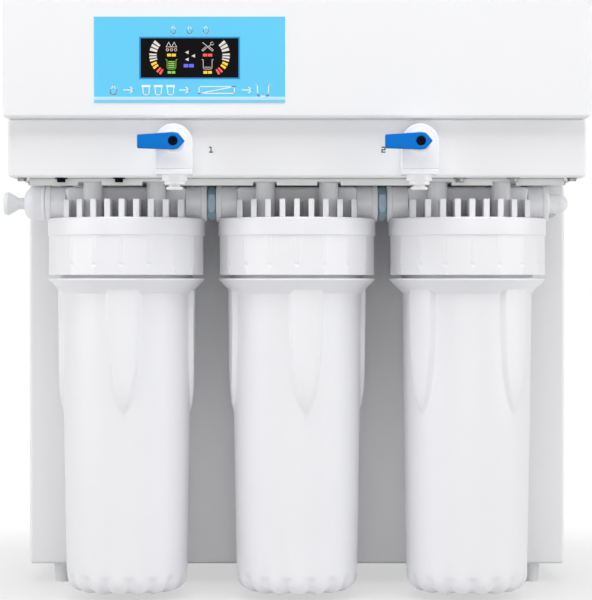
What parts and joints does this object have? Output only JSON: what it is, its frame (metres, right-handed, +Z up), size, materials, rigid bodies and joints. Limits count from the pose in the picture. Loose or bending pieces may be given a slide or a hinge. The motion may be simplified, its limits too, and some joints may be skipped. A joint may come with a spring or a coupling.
{
  "type": "laboratory reverse osmosis system",
  "caption": "White bench water purifier: cabinet with overhanging control head, hanging filter housings that unscrew, lever taps and push-in tube fittings.",
  "frame": {"origin": "middle of the bounding box, on the bench", "axes": "X to the right seen from the front, Y from front to rear, Z up; the front faces -Y"},
  "size_m": [0.4416, 0.3856, 0.452],
  "materials": {
    "white_paint": "satin white powder coat",
    "white_plastic": "moulded white polypropylene",
    "tap_white": "moulded white acetal",
    "foot_plastic": "moulded pale plastic",
    "grey_plastic": "moulded grey plastic",
    "link_grey": "moulded blue-grey plastic",
    "bracket_steel": "grey coated steel",
    "screw_steel": "zinc plated steel",
    "lever_blue": "moulded blue plastic",
    "panel_blue": "printed film, satin",
    "display_black": "smoked acrylic",
    "board_green": "circuit board",
    "rubber_black": "moulded rubber",
    "motor_grey": "grey enamel",
    "case_aluminium": "pressed sheet case",
    "black_plastic": "moulded black plastic",
    "cream_media": "spun filter media",
    "carbon_media": "pressed carbon",
    "seat_white": "PTFE"
  },
  "bodies": {
    "root": {"lower_cabinet": "white_paint", "rear_cover": "white_paint", "cover_screws": "screw_steel", "head_tray": "white_paint", "head_cover": "white_paint", "filter_bracket": "bracket_steel", "bracket_screws": "screw_steel", "underside_screws": "screw_steel", "feet": "foot_plastic", "control_overlay": "panel_blue", "display_window": "display_black", "display_board": "board_green", "control_board": "board_green", "board_posts": "screw_steel", "power_supply": "case_aluminium", "filter_head_left": "white_plastic", "filter_head_middle": "white_plastic", "filter_head_right": "white_plastic", "head_screws": "screw_steel", "link_nipples": "link_grey", "inlet_bush": "white_plastic", "outlet_elbow": "grey_plastic", "outlet_grommet": "rubber_black", "tap_body_left": "tap_white", "tap_body_right": "tap_white", "tap_outlet_left": "tap_white", "tap_outlet_right": "tap_white", "tap_nuts": "tap_white", "tap_seats": "seat_white", "pump_motor": "motor_grey", "pump_head": "black_plastic", "pump_mounts": "rubber_black", "membrane_housings": "white_plastic", "membrane_caps": "white_plastic", "membrane_elements": "cream_media", "membrane_clips": "white_plastic", "resin_column": "white_plastic", "solenoid_valves": "black_plastic", "rear_ports": "tap_white", "power_entry": "black_plastic"},
    "lever_left": {"tap_lever_left": "lever_blue", "tap_ball_left": "screw_steel", "lever_screw_left": "screw_steel"},
    "collet_left": {"tap_collet_left": "tap_white"},
    "lever_right": {"tap_lever_right": "lever_blue", "tap_ball_right": "screw_steel", "lever_screw_right": "screw_steel"},
    "collet_right": {"tap_collet_right": "tap_white"},
    "seal_left": {"sump_seal_left": "rubber_black"},
    "bowl_left": {"sump_left": "white_plastic", "sediment_cartridge": "cream_media"},
    "seal_middle": {"sump_seal_middle": "rubber_black"},
    "bowl_middle": {"sump_middle": "white_plastic", "carbon_cartridge": "carbon_media"},
    "seal_right": {"sump_seal_right": "rubber_black"},
    "bowl_right": {"sump_right": "white_plastic", "polish_cartridge": "white_plastic"},
    "collet_inlet": {"inlet_collet": "grey_plastic"},
    "rocker": {"switch_rocker": "black_plastic"}
  },
  "joints": [
    {"name": "tap_turn_left", "type": "hinge", "parent": "root", "child": "lever_left", "pos_m": [-0.08575, -0.16745, 0.3454], "axis": [0, -1, 0], "range_deg": [0, 90]},
    {"name": "tap_turn_right", "type": "hinge", "parent": "root", "child": "lever_right", "pos_m": [0.09425, -0.16745, 0.3454], "axis": [0, -1, 0], "range_deg": [0, 90]},
    {"name": "sump_drop_left", "type": "slide", "parent": "root", "child": "seal_left", "axis": [0, 0, -1], "range_m": [0, 0.00418]},
    {"name": "sump_turn_left", "type": "hinge", "parent": "seal_left", "child": "bowl_left", "pos_m": [-0.12675, -0.08845, 0], "axis": [0, 0, -1], "range_deg": [0, 300]},
    {"name": "sump_drop_middle", "type": "slide", "parent": "root", "child": "seal_middle", "axis": [0, 0, -1], "range_m": [0, 0.00418]},
    {"name": "sump_turn_middle", "type": "hinge", "parent": "seal_middle", "child": "bowl_middle", "pos_m": [0.00425, -0.08845, 0], "axis": [0, 0, -1], "range_deg": [0, 300]},
    {"name": "sump_drop_right", "type": "slide", "parent": "root", "child": "seal_right", "axis": [0, 0, -1], "range_m": [0, 0.00418]},
    {"name": "sump_turn_right", "type": "hinge", "parent": "seal_right", "child": "bowl_right", "pos_m": [0.13525, -0.08845, 0], "axis": [0, 0, -1], "range_deg": [0, 300]},
    {"name": "collet_press_left", "type": "slide", "parent": "root", "child": "collet_left", "axis": [0, 0, 1], "range_m": [0, 0.0012], "stiffness_N_per_m": 400},
    {"name": "collet_press_right", "type": "slide", "parent": "root", "child": "collet_right", "axis": [0, 0, 1], "range_m": [0, 0.0012], "stiffness_N_per_m": 400},
    {"name": "collet_press_inlet", "type": "slide", "parent": "root", "child": "collet_inlet", "axis": [1, 0, 0], "range_m": [0, 0.0012], "stiffness_N_per_m": 400},
    {"name": "rocker_tip", "type": "hinge", "parent": "root", "child": "rocker", "pos_m": [-0.14625, 0.17375, 0.1142], "axis": [1, 0, 0], "range_deg": [0, 20]}
  ],
  "couplings": [
    {"joint": "sump_drop_left", "follows": "sump_turn_left", "m_per_rad": 0.00079577},
    {"joint": "sump_drop_middle", "follows": "sump_turn_middle", "m_per_rad": 0.00079577},
    {"joint": "sump_drop_right", "follows": "sump_turn_right", "m_per_rad": 0.00079577}
  ]
}
